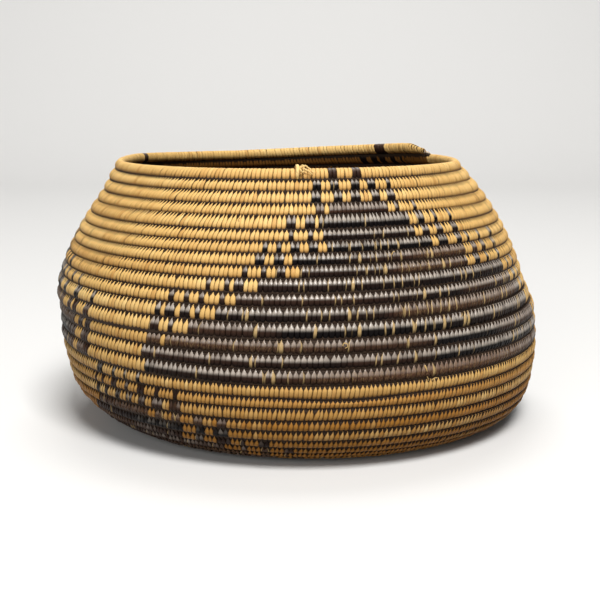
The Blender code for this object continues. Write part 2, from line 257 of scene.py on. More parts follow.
# Rows with many undyed edges to the right of an azimuth: a power raises the wear there. All other stitches
# wear less than the undyed ones.
STREAKY_ROWS = (7, 13)
STREAKY_FROM = 8
STREAKY_POWER = 0.4
MOST_WEAR = 0.97
# Dust and painted sheen on the upper sides of the dark stitches. It gets less in the lower rows and towards
# the left: start, end and amount.
DUST_AND_SHEEN = 0.85
DUST_AND_SHEEN_SCATTER = 0.12
HEEL_DUST_AND_SHEEN = ((15.5, 18, -0.65),)
LEFT_DUST_AND_SHEEN = ((38, 56, -0.55),)
# The plain gap at the right, where the rows of the pattern are counted from.
SEAM_AZIMUTH = 88

# Dark stitches round the rim: the imported pieces' name, the azimuth of their middle, their number and how
# brown they are. Their dusting with painted sheen and their wear are shares of what the plan gives them.
RIM_GROUPS = (
    ("dark_stitch_front_left", 14.8, 2, 0.3),
    ("dark_stitch_front_right", 21.3, 2, 0.3),
    ("dark_stitch_back_right", 139.5, 4, 0.8),
    ("dark_stitch_back_left", -113, 2, 0.8),
)
RIM_DUST_SHEEN_AND_WEAR = (0.7, 0.8, 0)

# The tie at the front of the rim. Its points and sizes are millimetres along the rim to the right, up and
# out. The loop's ends are degrees round the rim's bundle, and the knot's start is an angle in radians.
TIE_AZIMUTH = 3.9
LOOP_ENDS = (-62, 205)
LOOP_STEPS = 10
LOOP_SIZE = (0.1, 3.35, 3.55)
LOOP_RADII = (0.45, 0.85, 0.85, 0.5)
KNOT_CENTRE = (1.8, 0.5, 3.7)
KNOT_SIZE = (0.75, 1.5, 0.45)
KNOT_ROUNDS = 2.2
KNOT_START = 0.4
KNOT_STEPS = 26
KNOT_RADIUS = 0.42
TIE_STRANDS = (
    ("rim_tie_end_1", ((1.6, 0.6, 3.3), (2.9, 1.9, 3.9), (4.7, 0.8, 3.6), (6.6, -1.2, 3.4)), 0.42),
    ("rim_tie_end_2", ((1.5, 1.7, 3.4), (2.9, 0.2, 3.9), (4.4, -0.4, 3.5), (6.1, -1.9, 3.2)), 0.40),
)
# A strand's steps between two points, and the direction that its section is set out from.
STRAND_STEPS = 6
SECTION_FROM = (0.13, 0.2, 0.97)
STRAND_TAPER = 0.6
TUFT_STRANDS = 9
TUFT_ROOT = (1.9, 0.6, 3.9)
TUFT_SCATTER = 0.5
TUFT_REACH = ((-1.6, 2.6), (-2.2, 1.9), (-0.1, 0.5))
TUFT_BEND = 0.35
TUFT_RADII = (0.15, 0.13, 0.06)
# Tone, wear and gold of the strands of the tie, and of the frayed ends.
TIE_LOOK = (1, 0.1, 0)
FRAYED_LOOK = (0.9, 0.2, 0.2)
FRAYED_TAPER = 0.45

# Loose ends of splints: row, azimuth, and thickness and points in millimetres along the row to the right,
# up and out.
FRAYED = (
    ("frayed_end_1", 17, 28.4, 0.26, ((-0.2, 1.9, 1.7), (0.5, 3.0, 2.6), (1.7, 3.1, 2.9))),
    ("frayed_end_2", 17, 27.4, 0.24, ((0.1, 2.0, 1.7), (-0.5, 3.1, 2.5), (-1.2, 4.1, 2.6))),
    ("frayed_end_3", 16, 26.9, 0.38, ((-0.3, 2.6, 1.9), (0.2, 1.2, 2.6), (0.6, 0.1, 2.5))),
    ("frayed_end_4", 14, 9.9, 0.26, ((-0.9, 0.4, 2.0), (-0.5, 1.5, 2.7), (0.6, 1.3, 2.9), (0.9, 0.1, 2.8),
                                     (-0.1, -0.5, 2.5))),
    ("frayed_end_5", 5, -12.4, 0.3, ((0.2, 2.4, 2.2), (0, 1.5, 2.9), (0.3, 0.6, 2.7))),
    ("frayed_end_6", 13, 38.6, 0.22, ((0, 1.2, 1.9), (0.5, 2.1, 2.6), (0.4, 3.0, 2.6))),
    ("frayed_end_7", 8, 24.0, 0.2, ((0, 1.0, 2.0), (0.6, 1.9, 2.6), (1.4, 2.1, 2.7))),
)

# The camera stands where the photograph was taken from.
CAMERA_PLACE = (1.3 * MM, -571.9 * MM, 159.4 * MM)
CAMERA_PITCH = radians(90 - 10.58)
CAMERA_LENS = 71.5

# The lights: place, size and power. Those in front face the bowl, and the one behind it faces the backdrop.
LAMPS = (
    ("key", (0.3, -1.12, 1.62), 0.7, 40),
    ("fill", (-0.9, -1.9, 0.7), 1.2, 16),
    ("backdrop_light", (0, 1.1, 2.3), 1.4, 28),
)
BOWL_MIDDLE = (0, 0, 0.06)
BACKDROP_MIDDLE = (0, 1.5, 0.1)
AMBIENT = 0.13
# The floor's colour for the light that it throws on the bowl, as a share of the colour that is seen.
FLOOR_BOUNCE = 0.3


def ease(value, start, end):
    """0 before start, 1 after end, and a smooth passage between them."""
    share = np.clip((value - start) / (end - start), 0, 1)
    return share * share * (3 - 2 * share)


def ramps(value, changes):
    """The sum of smooth changes, each with its start, its end and its amount."""
    return sum(amount * ease(value, start, end) for start, end, amount in changes)


def stretches(turn, seed, pace=5.0):
    """Slow unevenness along the coil, about -1 to 1 and different on every round."""
    rng = np.random.default_rng(seed)
    total = np.zeros_like(turn)
    for _wave in range(7):
        total += np.sin(tau * turn * rng.uniform(0.3, 1) * pace + rng.uniform(0, tau))
    return total / 3


def wall_profile(run):
    """Radius, height and slope of the wall at distances run up from the base's edge."""
    radius = BASE_RADIUS + np.minimum(run, 0)
    height = np.full_like(radius, BASE_HEIGHT)
    slope = np.zeros_like(radius)
    start = 0
    start_slope = 0
    for length, end_slope in WALL_STRETCHES:
        part = np.clip(run - start, 0, length)
        bend = (end_slope - start_slope) / length
        new_slope = start_slope + bend * part
        radius += (np.sin(new_slope) - sin(start_slope)) / bend
        height += (cos(start_slope) - np.cos(new_slope)) / bend
        slope = np.where(part > 0, new_slope, slope)
        start += length
        start_slope = end_slope
    return radius, height, slope


def half_turn(degrees):
    """The same directions, between -180 and 180 degrees."""
    return (degrees + 180) % 360 - 180


def place(radius, height, azimuth):
    """Points of the leaning wall, as rows of coordinates."""
    above = height - BASE_HEIGHT
    shift = np.full_like(height, FOOT_CENTRE)
    for (low, before), (high, after) in zip(LEAN, LEAN[1:]):
        shift += (after - before) * ease(height, low, high)
    side = radius * np.sin(azimuth)
    tip = RIM_TIP * above / (RIM_HEIGHT - BASE_HEIGHT)
    sag = BACK_SAG * ease(height, SAG_FROM, RIM_HEIGHT) * (1 - np.cos(azimuth)) / 2
    lift = np.interp(half_turn(np.degrees(azimuth)), *zip(*RIM_LIFTS)) * ease(height, LIFT_FROM, RIM_HEIGHT)
    return np.stack((shift + side, -radius * np.cos(azimuth), height + tip * side - sag + lift), axis=-1)


def pitch_at(turn):
    """Pitch of the coil, turn rounds back from its end."""
    pitch = np.full_like(turn, PITCHES[0][1])
    for (_edge, before), (edge, after) in zip(PITCHES, PITCHES[1:]):
        pitch += (after - before) * ease(turn, edge - PITCH_BLEND / 2, edge + PITCH_BLEND / 2)
    return pitch


def add_directions(table, slope):
    """Adds the directions up along the wall, out of the wall and along the coil to a table."""
    flat = np.zeros_like(slope)
    out = np.stack((np.sin(table.azimuth), -np.cos(table.azimuth), flat), axis=-1)
    upright = np.array((0, 0, 1))
    table.level = np.cos(slope)
    table.rising = np.sin(slope)
    table.up = out * table.level[:, None] + upright * table.rising[:, None]
    table.outward = out * table.rising[:, None] - upright * table.level[:, None]
    table.along = np.stack((np.cos(table.azimuth), np.sin(table.azimuth), flat), axis=-1)


def coil_table(sizes):
    """The coil's middle line and its room to the neighbouring rounds, in fine steps from the rim inward."""
    count = round(COIL_ROUNDS * ROUND_STEPS) + 1
    below = slice(ROUND_STEPS, None)
    above = slice(None, -ROUND_STEPS)
    table = SimpleNamespace(turn=np.arange(count) / ROUND_STEPS)
    table.top = (table.turn < 1) * 1.0
    table.azimuth = radians(END_AZIMUTH) + tau * table.turn
    pitch = pitch_at(table.turn)
    run = WALL_LENGTH - (np.cumsum(pitch) - pitch[0]) / ROUND_STEPS
    run -= np.interp(table.turn, *zip(*SETTLED))
    table.size = TAIL_SIZE + (1 - TAIL_SIZE) * ease(table.turn, 0, TAIL_ROUNDS)
    table.size *= 1 - (1 - START_SIZE) * ease(table.turn, COIL_ROUNDS - START_ROUNDS, COIL_ROUNDS)
    tail = int(TAIL_ROUNDS * ROUND_STEPS)
    run[:tail] = run[ROUND_STEPS:ROUND_STEPS + tail] + pitch[:tail] * (1 + table.size[:tail]) / 2
    table.radius, height, slope = wall_profile(run)
    table.centre = place(table.radius, height, table.azimuth)
    add_directions(table, slope)

    spacing = np.linalg.norm(table.centre[below] - table.centre[above], axis=1)
    share = table.size[above] / (table.size[above] + table.size[below])
    degrees = half_turn(np.degrees(table.azimuth))
    sagging = 1 - ease(np.abs(degrees - SHIFT_AZIMUTH), 0, SAG_HALF_WIDTH)
    near_front = (0.5 + 0.5 * np.cos(np.radians(degrees - SHIFT_AZIMUTH))) ** 2
    row = np.floor(table.turn + 0.5 - (SHIFT_AZIMUTH - END_AZIMUTH) / 360)
    share += SAG_SHARE * (sagging * (row == SAGGING_ROW))[above]
    for shifted, shift in GROOVE_SHIFTS.items():
        share += (near_front * (row == shifted))[above] * shift * MM / spacing
    share += sizes.wobble * stretches(table.turn, sizes.seed)[above]
    to_ring = table.radius - RING_RADIUS - (1 - RING_OVERLAP) * RING_ROOM
    table.room_down = np.maximum(sizes.free_side * table.size, to_ring)
    table.room_down[above] = spacing * share
    table.room_up = sizes.free_side * table.size
    table.room_up[below] = spacing * (1 - share)
    table.thickness = table.size * (sizes.thickness + THICKER_BY_PITCH * (table.room_up + table.room_down))
    sinking = np.maximum(-table.outward[:, 2], 1e-6)
    table.outer = np.minimum(table.thickness, table.centre[:, 2] / sinking)
    return table


def read(table, turns):
    """Every column of a table at these turns."""
    step = np.clip(turns * ROUND_STEPS, 0, len(table.turn) - 1)
    index = np.minimum(step.astype(int), len(table.turn) - 2)
    share = step - index
    found = SimpleNamespace()
    for name, column in vars(table).items():
        part = share if column.ndim == 1 else share[:, None]
        setattr(found, name, column[index] * (1 - part) + column[index + 1] * part)
    return found


def stitch_turns(coil, width, seed):
    """Where every stitch stands along the coil, in rounds back from its end."""
    counts = np.floor(tau * coil.radius / width) + 0.5
    for (start, count), (end, _next_count) in zip(STITCH_COUNTS, (*STITCH_COUNTS[1:], (BASE_FROM, 0))):
        counts[(coil.turn >= start) & (coil.turn < end)] = count
    sewn = np.cumsum(counts) / ROUND_STEPS
    turns = np.interp(np.arange(1, int(sewn[-1])), sewn, coil.turn)
    uneven = np.random.default_rng(seed).normal(0, PLACE_SCATTER, len(turns))
    return turns + uneven * np.gradient(turns)


def pattern_place(turns):
    """Row, 1 at the rim, and azimuth in degrees, counted from the plain gap at the right."""
    counted = turns + (END_AZIMUTH - SEAM_AZIMUTH) / 360
    row = np.floor(counted)
    return row + 1, SEAM_AZIMUTH - 360 + 360 * (counted - row)


def in_spans(rows, places, spans_by_row):
    """Whether each place lies in one of its row's spans."""
    inside = np.zeros(len(rows), bool)
    for row, spans in spans_by_row.items():
        for start, end in spans:
            inside |= (rows == row) & (places > start) & (places < end)
    return inside


def is_dark(rows, azimuths):
    """Whether each stitch belongs to the stepped pyramids."""
    dark = np.zeros(len(rows), bool)
    for left, right, mirrored in PYRAMIDS:
        share = (azimuths - left) / (right - left)
        if mirrored:
            share = 1 - share
        dark |= in_spans(rows, PYRAMID_LEFT + share * (PYRAMID_RIGHT - PYRAMID_LEFT), PYRAMID_ROWS)
    flank = (rows >= FLANK_TOP_ROW) & (azimuths > FLANK_FROM) & (azimuths < FLANK_TO)
    dark = np.where(flank, in_spans(rows, azimuths, FLANK_ROWS), dark)
    for turned in LOWER_REPEATS:
        dark |= in_spans(rows, half_turn(azimuths - turned), LOWER_ROWS)
    return dark | np.isin(rows, DARK_BASE_ROWS)


def slant_at(rows, azimuths):
    """How far each stitch slants along the coil, as a share of its height."""
    start = LEFT_SLANT_FROM + ramps(rows, LEFT_SLANT_SHIFTS)
    slant = SLANT + LEFT_SLANT * ease(-azimuths, start, start + LEFT_SLANT_WIDTH)
    return slant + ramps(-azimuths, BACK_SLANTS) + ramps(rows, HEEL_SLANTS)


def wear_at(rows, azimuths, wear):
    """How worn each stitch is: a random value, raised in the streaky rows, and 1 for undyed stitches."""
    streaky = (rows >= STREAKY_ROWS[0]) & (rows <= STREAKY_ROWS[1]) & (azimuths > STREAKY_FROM)
    wear = np.minimum(wear ** np.where(streaky, STREAKY_POWER, 1), MOST_WEAR)
    for row, places in TAN_STITCHES.items():
        for undyed in places:
            wear[np.argmin(np.abs(azimuths - undyed) + 360 * (rows != row))] = 1
    return wear


def stitch_looks(turns, rows, azimuths, dark, seed):
    """What the materials read for each stitch: its tone or its dusting with painted sheen, its wear, and how
    golden or brown it is.
    """
    rng = np.random.default_rng(seed + 1)
    tone = TONE + TONE_WAVES * stretches(turns, seed + 2, 3) + rng.normal(0, TONE_SCATTER, len(turns))
    for row, change in ROW_TONES.items():
        tone += change * (rows == row)
    wear = wear_at(rows, azimuths, rng.random(len(turns)))
    gold = ease(turns, *GOLD_ROUNDS) + GOLD_WAVES * stretches(turns, seed + 3, 2)
    brown = BROWN + BROWN_WAVES * stretches(turns, seed + 4, 4)
    for row, start, end, amount in BROWN_STRETCHES:
        begun = ease(azimuths, start - BROWN_FADE, start + BROWN_FADE)
        ended = ease(azimuths, end - BROWN_FADE, end + BROWN_FADE)
        brown += amount * (rows == row) * begun * (1 - ended)
    dust_and_sheen = DUST_AND_SHEEN + (tone - TONE) + rng.normal(0, DUST_AND_SHEEN_SCATTER, len(turns))
    dust_and_sheen += ramps(rows, HEEL_DUST_AND_SHEEN) + ramps(-azimuths, LEFT_DUST_AND_SHEEN)
    looks = np.column_stack((np.where(dark, dust_and_sheen, tone), wear, np.where(dark, brown, gold)))
    return np.clip(looks, 0, 1)


def plan_stitches(sizes):
    """Every stitch of the coil: its turn, width, slant and look, and whether it is dark or marks the rim."""
    coil = coil_table(sizes)
    turns = stitch_turns(coil, sizes.base_stitch, sizes.seed)
    rows, azimuths = pattern_place(turns)
    plan = SimpleNamespace(coil=coil, turn=turns, dark=is_dark(rows, azimuths))
    plan.width = np.gradient(turns) * tau * read(coil, turns).radius
    plan.slant = slant_at(rows, azimuths)
    plan.look = stitch_looks(turns, rows, azimuths, plan.dark, sizes.seed)
    plan.marks = {}
    plan.marked = np.zeros(len(turns), bool)
    for name, azimuth, count, _brown in RIM_GROUPS:
        turn = (azimuth - END_AZIMUTH) / 360 % 1
        chosen = np.sort(np.argsort(np.abs(turns - turn))[:count])
        plan.marks[name] = chosen
        plan.marked[chosen] = True
    return plan


def chosen_stitches(plan, chosen):
    """The turns, widths and slants of these stitches."""
    return plan.turn[chosen], plan.width[chosen], plan.slant[chosen]


def sewn_mesh(name, table, turns, widths, slants, looks, sizes, seed):
    """A mesh of closed stitches, each a crowned strip that goes once round the bundle of grass."""
    rng = np.random.default_rng(seed)
    count = len(turns)
    at = read(table, turns)
    top = at.top[:, None] > 0.5
    over_rim = top & (STITCH_UP > 0)
    out = np.where(over_rim, np.cos(RIM_ANGLES), STITCH_OUT)
    rise = np.where(over_rim, np.sin(RIM_ANGLES), STITCH_UP)
    share = np.where(over_rim, RIM_WIDTH, STITCH_WIDTH)
    lift = rng.normal(0, sizes.unevenness, count) + sizes.unevenness * stretches(turns, seed, 9)

    depth = np.where(out > 0, at.outer[:, None], at.thickness[:, None]) + lift[:, None]
    room = np.where(rise > 0, at.room_up[:, None], at.room_down[:, None])
    outward = depth * out
    up = room * rise
    facing_out = out / depth
    facing_up = rise / room
    length = np.hypot(facing_out, facing_up)
    normal = at.outward[:, None] * (facing_out / length)[..., None]
    normal = normal + at.up[:, None] * (facing_up / length)[..., None]

    fan = 1 + (up * at.level[:, None] + outward * at.rising[:, None]) / np.maximum(at.radius, 1 * MM)[:, None]
    half = widths * (sizes.fit + rng.normal(0, WIDTH_SCATTER, count)) / 2
    half_width = half[:, None] * share * np.clip(fan, *FAN_LIMITS)
    slant = slants + rng.normal(0, SLANT_SCATTER, count)
    crown = sizes.crown * (1 + rng.normal(0, CROWN_SCATTER, count))[:, None]
    crown = crown * np.where(out < 0, INNER_CROWN, 1)

    middle = at.centre[:, None] + at.outward[:, None] * outward[..., None] + at.up[:, None] * up[..., None]
    middle = middle + at.along[:, None] * (slant[:, None] * up)[..., None]
    sideways = half_width[..., None] * ACROSS
    points = middle[:, :, None] + at.along[:, None, None] * sideways[..., None]
    points = points - normal[:, :, None] * (crown[..., None] * ACROSS ** 2)[..., None]
    points[..., 2] = np.maximum(points[..., 2], 0)

    rings = len(STITCH_OUT)
    strip = len(ACROSS)
    ring = np.arange(rings)[:, None]
    line = np.arange(strip)[None]
    next_ring = (ring + 1) % rings
    next_line = (line + 1) % strip
    corners = (ring * strip + line, ring * strip + next_line,
               next_ring * strip + next_line, next_ring * strip + line)
    quads = np.stack(corners, axis=-1).reshape(-1, 4)
    faces = (quads[None] + (np.arange(count) * rings * strip)[:, None, None]).reshape(-1, 4)
    mesh = quad_mesh(name, points.reshape(-1, 3), faces)

    strand = np.empty((count, rings, strip, 3))
    strand[..., 0] = ACROSS
    strand[..., 1] = rise[..., None]
    strand[..., 2] = rng.random(count)[:, None, None]
    set_vectors(mesh, "strand", strand.reshape(-1, 3))
    set_vectors(mesh, "look", np.repeat(looks, rings * strip, axis=0))
    # How far each point lies on the inner side, and how much painted shade its colour gets there; the rim
    # gets it only on its lower inner part, below where the light reaches.
    inner = np.clip(0.4 - 2 * out, 0, 1)
    inner_shade = inner * np.where(top, 0.6 * ease(-rise, 0.3, 1), 1)
    inside = np.stack((inner, inner_shade, inner_shade), axis=-1).reshape(-1, 3)
    set_vectors(mesh, "inside", np.repeat(inside, strip, axis=0))
    return mesh


def quad_mesh(name, points, faces):
    """A smooth mesh of these points and four-sided faces."""
    mesh = bpy.data.meshes.new(name)
    mesh.vertices.add(len(points))
    mesh.vertices.foreach_set("co", points.astype(np.float32).ravel())
    mesh.loops.add(faces.size)
    mesh.loops.foreach_set("vertex_index", faces.astype(np.int32).ravel())
    mesh.polygons.add(len(faces))
    mesh.polygons.foreach_set("loop_start", np.arange(len(faces), dtype=np.int32) * 4)
    mesh.update(calc_edges=True)
    mesh.shade_smooth()
    return mesh


def set_vectors(mesh, name, values):
    """Stores one vector for each point of the mesh, for the material to read."""
    attribute = mesh.attributes.new(name, "FLOAT_VECTOR", "POINT")
    attribute.data.foreach_set("vector", values.astype(np.float32).ravel())


def close_ends(mesh):
    """Fills the open ends of tubes."""
    shape = bmesh.new()
    shape.from_mesh(mesh)
    bmesh.ops.holes_fill(shape, edges=[edge for edge in shape.edges if edge.is_boundary])
    bmesh.ops.recalc_face_normals(shape, faces=shape.faces)
    shape.to_mesh(mesh)
    shape.free()


def tube_mesh(name, rings):
    """A closed tube through rings of points, with the place along and round it that its material reads."""
    steps, sides = rings.shape[:2]
    ring = np.arange(steps - 1)[:, None] * sides
    line = np.arange(sides)[None]
    next_line = (line + 1) % sides
    faces = np.stack((ring + line, ring + sides + line, ring + sides + next_line, ring + next_line), axis=-1)
    mesh = quad_mesh(name, rings.reshape(-1, 3), faces.reshape(-1, 4))
    lengths = np.linalg.norm(np.diff(rings.mean(axis=1), axis=0), axis=1)
    strand = np.zeros((steps, sides, 3))
    strand[..., 0] = np.cos(np.arange(sides) * tau / sides)
    strand[..., 1] = np.append(0, np.cumsum(lengths))[:, None] / (3 * MM)
    strand[..., 2] = np.sin(np.arange(sides) * tau / sides) / 20
    set_vectors(mesh, "strand", strand.reshape(-1, 3))
    close_ends(mesh)
    return mesh


def strand_rings(points, radii, sides=8):
    """Rings of a round strand along a smooth path through these points."""
    points = np.asarray(points, float)
    knots = np.arange(len(points))
    fine = np.linspace(0, len(points) - 1, STRAND_STEPS * (len(points) - 1) + 1)
    slopes = np.gradient(points, axis=0)
    index = np.minimum(fine.astype(int), len(points) - 2)
    share = (fine - index)[:, None]
    start = points[index]
    end = points[index + 1]
    bend = share * share * (3 - 2 * share)
    path = start + (end - start) * bend + slopes[index] * (share * (1 - share) ** 2)
    path = path - slopes[index + 1] * (share ** 2 * (1 - share))
    radius = np.interp(fine, knots, np.broadcast_to(radii, len(points)))
    direction = np.gradient(path, axis=0)
    direction /= np.linalg.norm(direction, axis=1)[:, None]
    side = np.cross(direction, SECTION_FROM)
    side /= np.linalg.norm(side, axis=1)[:, None]
    top = np.cross(side, direction)
    angle = np.arange(sides) * tau / sides
    ring = side[:, None] * np.cos(angle)[None, :, None] + top[:, None] * np.sin(angle)[None, :, None]
    return path[:, None] + ring * radius[:, None, None]


def grass_mesh(name, table, start, end, sizes):
    """The bundle of grass along part of the coil, thinner than the stitches round it."""
    turns = np.linspace(start, end, int((end - start) * GRASS_STEPS) + 2)
    at = read(table, turns)
    angles = np.arange(GRASS_SIDES) * tau / GRASS_SIDES
    cosine = np.cos(angles)
    sine = np.sin(angles)
    depth = np.where(cosine > 0, at.outer[:, None], at.thickness[:, None]) - sizes.splint * GRASS_INSET
    under_rim = (sine > 0) & (at.top[:, None] > 0.5)
    rise = np.where(sine > 0, at.room_up[:, None], at.room_down[:, None])
    rise = rise + sizes.splint * np.where(under_rim, -RIM_INSET, GROOVE_REACH)
    outward = np.maximum(depth, sizes.splint) * np.sign(cosine) * np.abs(cosine) ** GRASS_FULLNESS
    up = np.maximum(rise, sizes.splint) * sine
    points = at.centre[:, None] + at.outward[:, None] * outward[..., None] + at.up[:, None] * up[..., None]
    points[..., 2] = np.maximum(points[..., 2], sizes.splint)
    return tube_mesh(name, points)


class Wire:
    """An output of a shader node. Arithmetic on it adds Math nodes to its tree."""

    def __init__(self, tree, socket=None):
        self.tree = tree
        self.socket = socket

    def node(self, kind, settings=None, values=None, output=0):
        """A new node in this tree: its settings are set first, then its inputs' values or links."""
        made = self.tree.nodes.new(kind)
        for name, value in (settings or {}).items():
            setattr(made, name, value)
        for name, value in (values or {}).items():
            if isinstance(value, Wire):
                self.tree.links.new(value.socket, made.inputs[name])
            else:
                made.inputs[name].default_value = value
        return Wire(self.tree, made.outputs[output])

    def math(self, operation, *values):
        """A Math node over these values."""
        return self.node("ShaderNodeMath", {"operation": operation}, dict(enumerate(values)))

    def __add__(self, other):
        return self.math("ADD", self, other)

    def __radd__(self, other):
        return self.math("ADD", other, self)

    def __sub__(self, other):
        return self.math("SUBTRACT", self, other)

    def __rsub__(self, other):
        return self.math("SUBTRACT", other, self)

    def __mul__(self, other):
        return self.math("MULTIPLY", self, other)

    def __rmul__(self, other):
        return self.math("MULTIPLY", other, self)

    def __abs__(self):
        return self.math("ABSOLUTE", self)

    def between(self, low, high):
        """0 at low, 1 at high, and a smooth passage between them."""
        settings = {"interpolation_type": "SMOOTHSTEP"}
        return self.node("ShaderNodeMapRange", settings, {"Value": self, "From Min": low, "From Max": high})

    def blend(self, first, second):
        """A colour between two colours, by this wire's value."""
        return self.node("ShaderNodeMix", {"data_type": "RGBA"}, {0: self, 6: first, 7: second}, 2)

    def scaled(self, factors):
        """This vector, multiplied by factors."""
        return self.node("ShaderNodeVectorMath", {"operation": "MULTIPLY"}, {0: self, 1: factors})

    def noise(self, scale, detail=2.0):
        """Noise over this vector."""
        return self.node("ShaderNodeTexNoise", None, {"Vector": self, "Scale": scale, "Detail": detail})

    def parts(self):
        """The three parts of this vector."""
        outputs = self.node("ShaderNodeSeparateXYZ", None, {0: self}).socket.node.outputs
        return [Wire(self.tree, outputs[index]) for index in range(3)]

    def attribute(self, name):
        """A vector that the mesh stores for each point."""
        return self.node("ShaderNodeAttribute", {"attribute_name": name}, None, "Vector")


def new_material(name, settings):
    """A material whose shader has these sockets set, a wire to build its pattern from, and the shader."""
    material = bpy.data.materials.new(name)
    material.use_nodes = True
    tree = material.node_tree
    shader = tree.nodes["Principled BSDF"]
    for socket, value in settings.items():
        shader.inputs[socket].default_value = value
    return material, Wire(tree), shader


def plug(wire, shader, socket):
    """Links a wire to a socket of the shader."""
    wire.tree.links.new(wire.socket, shader.inputs[socket])


def add_bump(height, shader, strength, distance):
    """Bump from a height, on the shader's Normal."""
    values = {"Height": height, "Strength": strength, "Distance": distance}
    plug(height.node("ShaderNodeBump", None, values), shader, "Normal")


def rgba(colour, light=1.0):
    """A colour with its alpha, made lighter or darker."""
    return (colour[0] * light, colour[1] * light, colour[2] * light, 1)


def light_splint(name, colours):
    """Split stem, pale above and golden below with painted shade deepening the gold on the heel; darker at
    its edges from dirt and painted shade, and darker from painted shade on the lower side of each stitch, at
    its lower end in the groove and on the bowl's inner side.
    """
    material, wire, shader = new_material(name, {"Specular IOR Level": 0.17})
    across, groove, seed = wire.attribute("strand").parts()
    tone, wear, gold = wire.attribute("look").parts()
    inside, inner_shade, _inner_shade = wire.attribute("inside").parts()
    fibres = wire.attribute("strand").scaled((3.5, 1.2, 90)).noise(2.2, 3)
    # Golden towards the base, where the golden colour also holds painted shade for the heel.
    base = gold.blend(rgba(colours.pale), rgba(colours.golden))
    base = (tone.between(0.45, 1.1) * 0.7).blend(base, rgba(colours.sunned))
    base = ((1 - tone).between(0.5, 1.1) * 0.7).blend(base, rgba(colours.ginger))
    base = (wear.between(0.9, 1) * 0.55).blend(base, rgba(colours.ginger))
    # Painted shade: the lower side of each stitch is tinted ginger, darker than its lit upper side.
    base = ((0 - groove).between(-0.1, 0.9) * 0.6).blend(base, rgba(colours.ginger))
    base = (fibres.between(0.5, 0.8) * 0.3).blend(base, rgba(colours.ginger, 0.9))
    # Dirt and painted shade along the edges where the stitches meet, stronger and wider on the golden
    # stitches of the heel.
    edge = (abs(across) + 0.3 * gold).between(0.6, 1.1) * (0.35 + 0.4 * gold) * (1 - inside)
    base = edge.blend(base, rgba(colours.grime_and_shade, 1.5))
    # Painted shade at the lower end of each stitch, in the groove under its row.
    base = ((0 - groove).between(0.4, 0.85) * (1 - inside) * 0.85).blend(base, rgba(colours.grime_and_shade))
    # Painted shade on the bowl's inner side.
    base = (inner_shade * 0.92).blend(base, rgba(colours.inner_shade))
    plug(base, shader, "Base Color")
    plug(0.38 + 0.2 * fibres + 0.1 * seed, shader, "Roughness")
    add_bump(fibres, shader, 0.3, 0.12 * MM)
    return material


def dark_splint(name, colours):
    """Split stem dyed near black, dusted with a painted sheen above, darker from painted shade below and on
    the bowl's inner side, brown in stretches and undyed along some edges.
    """
    material, wire, shader = new_material(name, {"Specular IOR Level": 0.06, "Coat Roughness": 0.28})
    across, groove, seed = wire.attribute("strand").parts()
    dust_and_sheen, wear, brown = wire.attribute("look").parts()
    inside = wire.attribute("inside").parts()[0]
    fibres = wire.attribute("strand").scaled((3.5, 1.2, 90)).noise(2.2, 3)
    # Dust with a painted sheen on the upper side of each dark stitch.
    flank = groove.between(-0.15, 0.5) * (1 - inside)
    base = (flank * dust_and_sheen).blend(rgba(colours.dyed), rgba(colours.dusty_sheen))
    base = (brown * (0.6 + 0.4 * fibres)).blend(base, rgba(colours.rust))
    specks = brown.between(0.3, 0.7) * fibres.between(0.52, 0.66) * (1 - inside)
    base = (specks * 0.45).blend(base, rgba(colours.worn))
    bare = across * (1 - 2 * seed.between(0.49, 0.51))
    base = (bare.between(0.35, 0.6) * wear.between(0.86, 0.87) * 0.85).blend(base, rgba(colours.worn))
    base = (bare.between(-0.3, -0.1) * wear.between(0.978, 0.98) * 0.9).blend(base, rgba(colours.worn))
    # Painted shade: the lower side of each dark stitch is darkened to a deeper black.
    base = ((0 - groove).between(0.1, 0.9) * 0.85).blend(base, rgba(colours.dyed, 0.4))
    # Painted shade on the bowl's inner side, over the dark stitches.
    base = (inside * 0.6).blend(base, rgba(colours.dyed))
    plug(base, shader, "Base Color")
    plug(0.3 + 0.2 * fibres, shader, "Roughness")
    plug(groove.between(-0.1, 0.5) * dust_and_sheen, shader, "Coat Weight")
    add_bump(fibres, shader, 0.3, 0.12 * MM)
    return material


def grass_bundle(name, colours):
    """Brown grass stalks that show in the gaps between the stitches, painted near black as the shade in those
    gaps.
    """
    material, wire, shader = new_material(name, {"Specular IOR Level": 0.3, "Roughness": 0.75})
    stalks = wire.attribute("strand").scaled((3, 0.3, 60)).noise(3, 3)
    plug(stalks.between(0.35, 0.7).blend(rgba(colours.grass), rgba(colours.grass, 2.2)), shader, "Base Color")
    add_bump(stalks, shader, 0.6, 0.3 * MM)
    return material


MATERIALS = {"light_splint": light_splint, "dark_splint": dark_splint, "grass_bundle": grass_bundle}


def add_piece(context, name, mesh, material, slot, nodes=()):
    """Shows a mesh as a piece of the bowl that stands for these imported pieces."""
    made = bpy.data.materials.get(material) or MATERIALS[material](material, context.scene.basket_colours)
    mesh.materials.append(made)
    piece = bpy.data.objects.new(name, mesh)
    context.scene.collection.objects.link(piece)
    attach(piece, "root")
    if nodes:
        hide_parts(*nodes)


def add_strand(context, name, rings, look, nodes=()):
    """Shows a strand of light splint that has one look all along."""
    mesh = tube_mesh(name, rings)
    set_vectors(mesh, "look", np.tile(look, (len(mesh.vertices), 1)))
    add_piece(context, name, mesh, "light_splint", "pale_straw", nodes)


def spot_finder(table, row, azimuth):
    """A function that turns millimetres to the right, up and out of the coil at a place into coordinates."""
    at = read(table, np.array([row - 1 + (azimuth - END_AZIMUTH) / 360 % 1]))

    def spot(right, up, out):
        return at.centre[0] + (at.along[0] * right + at.up[0] * up + at.outward[0] * out) * MM

    return spot


def colour_property(name, description, colour):
    """A colour that the panel shows."""
    return FloatVectorProperty(name=name, description=description, default=colour, subtype="COLOR", size=3,
                               min=0, max=1)


